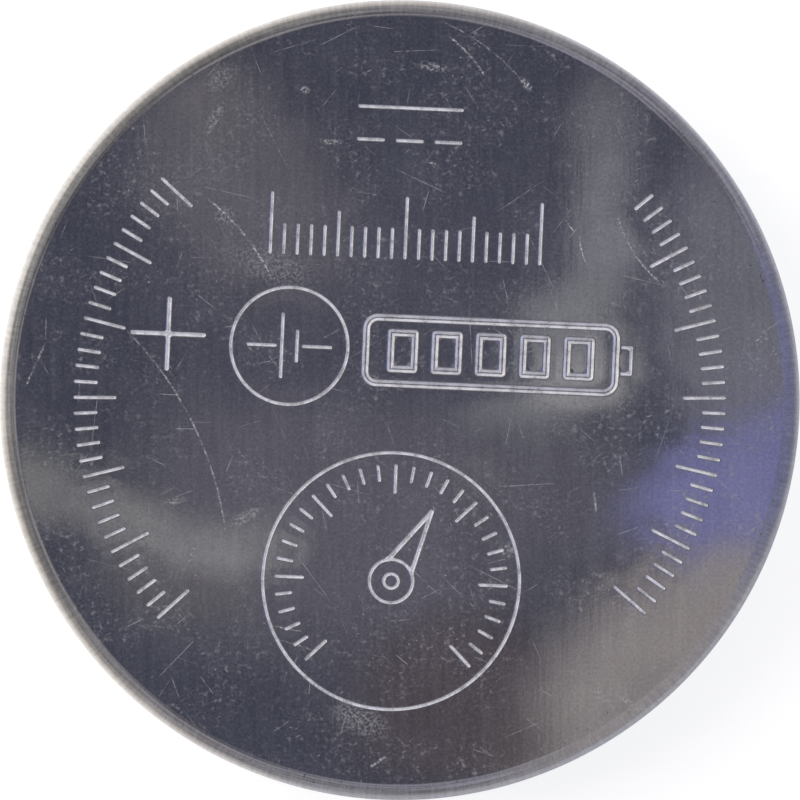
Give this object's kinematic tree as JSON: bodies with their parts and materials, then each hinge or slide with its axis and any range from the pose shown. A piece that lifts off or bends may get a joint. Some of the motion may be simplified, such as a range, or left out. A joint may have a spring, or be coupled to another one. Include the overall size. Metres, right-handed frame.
{
  "type": "lithium coin cell",
  "caption": "Flat round lithium coin cell: a crimped steel can with a stamped positive face, closed over an insulating gasket by a pressed negative cap.",
  "frame": {"origin": "centre of the negative contact face, on the surface that the cell lies on", "axes": "+Z along the cell's axis, out of the positive face; +X to the right and +Y up as the picture shows the face"},
  "size_m": [0.0244, 0.0244, 0.003],
  "materials": {
    "can_steel": "bright nickel plate with fine scratches",
    "gasket_plastic": "translucent white moulded",
    "cap_steel": "bright nickel plate with a satin contact face",
    "ring_steel": "bare",
    "cathode_mix": "matt pressed powder",
    "separator_felt": "matt",
    "lithium": "dull soft metal"
  },
  "bodies": {
    "root": {"positive_can": "can_steel", "gasket": "gasket_plastic", "negative_cap": "cap_steel", "cathode_ring": "ring_steel", "cathode_pellet": "cathode_mix", "separator": "separator_felt", "lithium_disc": "lithium"}
  },
  "joints": []
}
